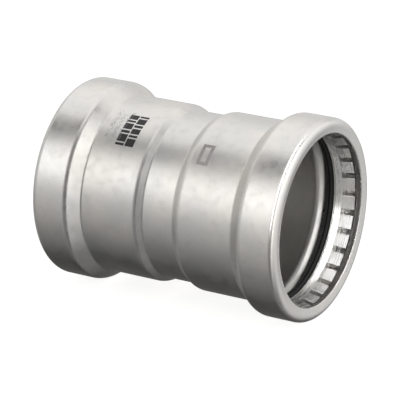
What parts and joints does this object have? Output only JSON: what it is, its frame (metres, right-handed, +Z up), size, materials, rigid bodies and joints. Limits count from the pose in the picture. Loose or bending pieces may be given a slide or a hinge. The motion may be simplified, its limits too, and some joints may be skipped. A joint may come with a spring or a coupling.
{
  "type": "press coupling",
  "caption": "Straight press coupling for steel pipe: a formed tube with a raised collar at each end that holds a toothed grip ring, a separator ring and a rubber seal.",
  "frame": {"origin": "middle of the coupling, on the pipe axis, at the pipe stop", "axes": "+X along the pipe axis towards the right mouth, +Z up as it lies on its side"},
  "size_m": [0.187, 0.1388, 0.1388],
  "materials": {
    "plated_steel": "satin zinc-nickel plating, warm grey",
    "stainless": "bright ground stainless",
    "rubber": "smooth black rubber"
  },
  "bodies": {
    "body": {"coupling_body": "plated_steel", "seal_right": "rubber", "seal_left": "rubber"},
    "grip_right": {"grip_ring_right": "stainless"},
    "grip_left": {"grip_ring_left": "stainless"},
    "separator_right": {"separator_ring_right": "stainless"},
    "separator_left": {"separator_ring_left": "stainless"}
  },
  "joints": [
    {"name": "grip_right_turn", "type": "hinge", "parent": "body", "child": "grip_right", "pos_m": [0.0733, 0, 0], "axis": [1, 0, 0], "continuous": true},
    {"name": "grip_left_turn", "type": "hinge", "parent": "body", "child": "grip_left", "pos_m": [-0.0733, 0, 0], "axis": [1, 0, 0], "continuous": true},
    {"name": "separator_right_turn", "type": "hinge", "parent": "body", "child": "separator_right", "pos_m": [0.0715, 0, 0], "axis": [1, 0, 0], "continuous": true},
    {"name": "separator_left_turn", "type": "hinge", "parent": "body", "child": "separator_left", "pos_m": [-0.0715, 0, 0], "axis": [1, 0, 0], "continuous": true}
  ]
}
